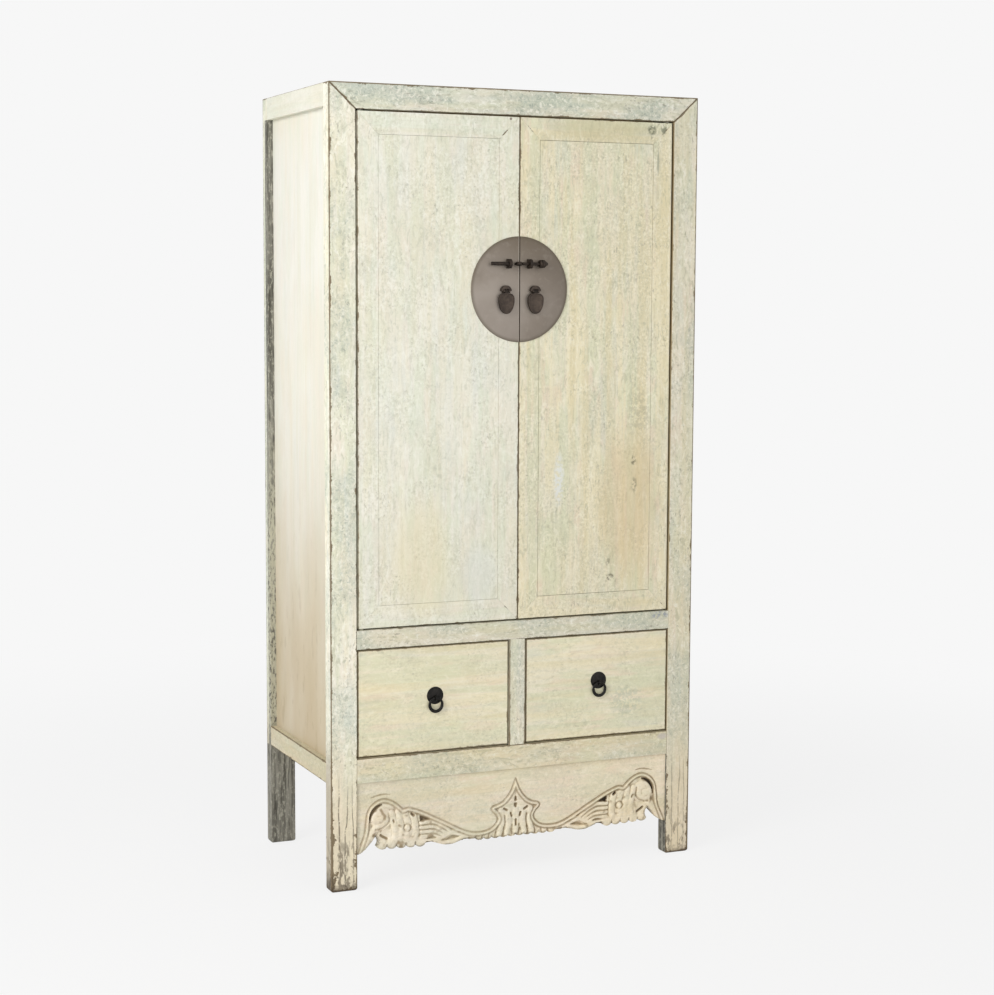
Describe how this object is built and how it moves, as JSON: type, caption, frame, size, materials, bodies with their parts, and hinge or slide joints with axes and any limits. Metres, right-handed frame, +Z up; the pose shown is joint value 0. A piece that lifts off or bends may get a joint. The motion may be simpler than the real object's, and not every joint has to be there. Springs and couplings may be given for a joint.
{
  "type": "round-lock cabinet",
  "caption": "Tall wooden wedding cabinet on straight legs, with swinging doors under a round split lock plate, drawers with ring pulls and a carved apron, in worn cream paint.",
  "frame": {"origin": "on the floor, in the middle of the cabinet's whole box with its door and drawer fittings", "axes": "+X to the right as seen by someone facing the doors, +Y from the doors to the back, +Z up"},
  "size_m": [0.96, 0.535, 1.9],
  "materials": {
    "cream_paint": "distressed cream paint over wood, worn brown at the edges",
    "carved_paint": "worn beige paint on carved wood, brown in the recesses",
    "bare_wood": "dry unpainted softwood",
    "plate_metal": "antiqued grey-brown brass, soft sheen",
    "aged_brass": "dark aged brass",
    "black_iron": "blackened iron, satin"
  },
  "bodies": {
    "carcass": {"apron": "carved_paint", "back_boards": "bare_wood", "compartment_floor": "bare_wood", "door_stops": "bare_wood", "drawer_divider": "cream_paint", "drawer_runners": "bare_wood", "post_front_left": "cream_paint", "post_front_right": "cream_paint", "post_rear_left": "cream_paint", "post_rear_right": "cream_paint", "rail_bottom_front": "cream_paint", "rail_bottom_left": "cream_paint", "rail_bottom_rear": "cream_paint", "rail_bottom_right": "cream_paint", "rail_middle_front": "cream_paint", "rail_middle_rear": "bare_wood", "rail_top_front": "cream_paint", "rail_top_left": "cream_paint", "rail_top_rear": "cream_paint", "rail_top_right": "cream_paint", "shelf": "bare_wood", "shelf_bearers": "bare_wood", "side_panel_left": "cream_paint", "side_panel_right": "cream_paint", "top_panel": "cream_paint"},
    "door_left": {"door_left_hinge_stile": "cream_paint", "door_left_meeting_stile": "cream_paint", "door_left_top_rail": "cream_paint", "door_left_bottom_rail": "cream_paint", "door_left_panel": "cream_paint", "door_left_battens": "bare_wood", "lock_plate_left": "plate_metal", "lock_keeper": "aged_brass", "pull_eye_left": "aged_brass"},
    "door_right": {"door_right_hinge_stile": "cream_paint", "door_right_meeting_stile": "cream_paint", "door_right_top_rail": "cream_paint", "door_right_bottom_rail": "cream_paint", "door_right_panel": "cream_paint", "door_right_battens": "bare_wood", "lock_plate_right": "plate_metal", "lock_guide": "aged_brass", "pull_eye_right": "aged_brass"},
    "lock_pin": {"lock_pin": "aged_brass"},
    "pull_left": {"drop_pull_left": "aged_brass"},
    "pull_right": {"drop_pull_right": "aged_brass"},
    "drawer_left": {"drawer_left_front": "cream_paint", "drawer_left_sides": "bare_wood", "drawer_left_back": "bare_wood", "drawer_left_bottom": "bare_wood", "ring_plate_left": "black_iron", "ring_eye_left": "black_iron"},
    "drawer_right": {"drawer_right_front": "cream_paint", "drawer_right_sides": "bare_wood", "drawer_right_back": "bare_wood", "drawer_right_bottom": "bare_wood", "ring_plate_right": "black_iron", "ring_eye_right": "black_iron"},
    "ring_left": {"pull_ring_left": "black_iron"},
    "ring_right": {"pull_ring_right": "black_iron"}
  },
  "joints": [
    {"name": "door_left_swing", "type": "hinge", "parent": "carcass", "child": "door_left", "pos_m": [-0.4, -0.2315, 1.23325], "axis": [0, 0, -1], "range_deg": [0, 100]},
    {"name": "door_right_swing", "type": "hinge", "parent": "carcass", "child": "door_right", "pos_m": [0.4, -0.2315, 1.23325], "axis": [0, 0, 1], "range_deg": [0, 100]},
    {"name": "lock_pin_slide", "type": "slide", "parent": "door_right", "child": "lock_pin", "axis": [-1, 0, 0], "range_m": [-0.012, 0.0095]},
    {"name": "pull_left_swing", "type": "hinge", "parent": "door_left", "child": "pull_left", "pos_m": [-0.0383, -0.254, 1.4244], "axis": [-1, 0, 0], "range_deg": [0, 80]},
    {"name": "pull_right_swing", "type": "hinge", "parent": "door_right", "child": "pull_right", "pos_m": [0.0383, -0.254, 1.4244], "axis": [-1, 0, 0], "range_deg": [0, 80]},
    {"name": "drawer_left_slide", "type": "slide", "parent": "carcass", "child": "drawer_left", "axis": [0, -1, 0], "range_m": [0, 0.32]},
    {"name": "drawer_right_slide", "type": "slide", "parent": "carcass", "child": "drawer_right", "axis": [0, -1, 0], "range_m": [0, 0.32]},
    {"name": "ring_left_swing", "type": "hinge", "parent": "drawer_left", "child": "ring_left", "pos_m": [-0.2158, -0.2487, 0.452], "axis": [-1, 0, 0], "range_deg": [0, 85]},
    {"name": "ring_right_swing", "type": "hinge", "parent": "drawer_right", "child": "ring_right", "pos_m": [0.2214, -0.2487, 0.4574], "axis": [-1, 0, 0], "range_deg": [0, 85]}
  ]
}
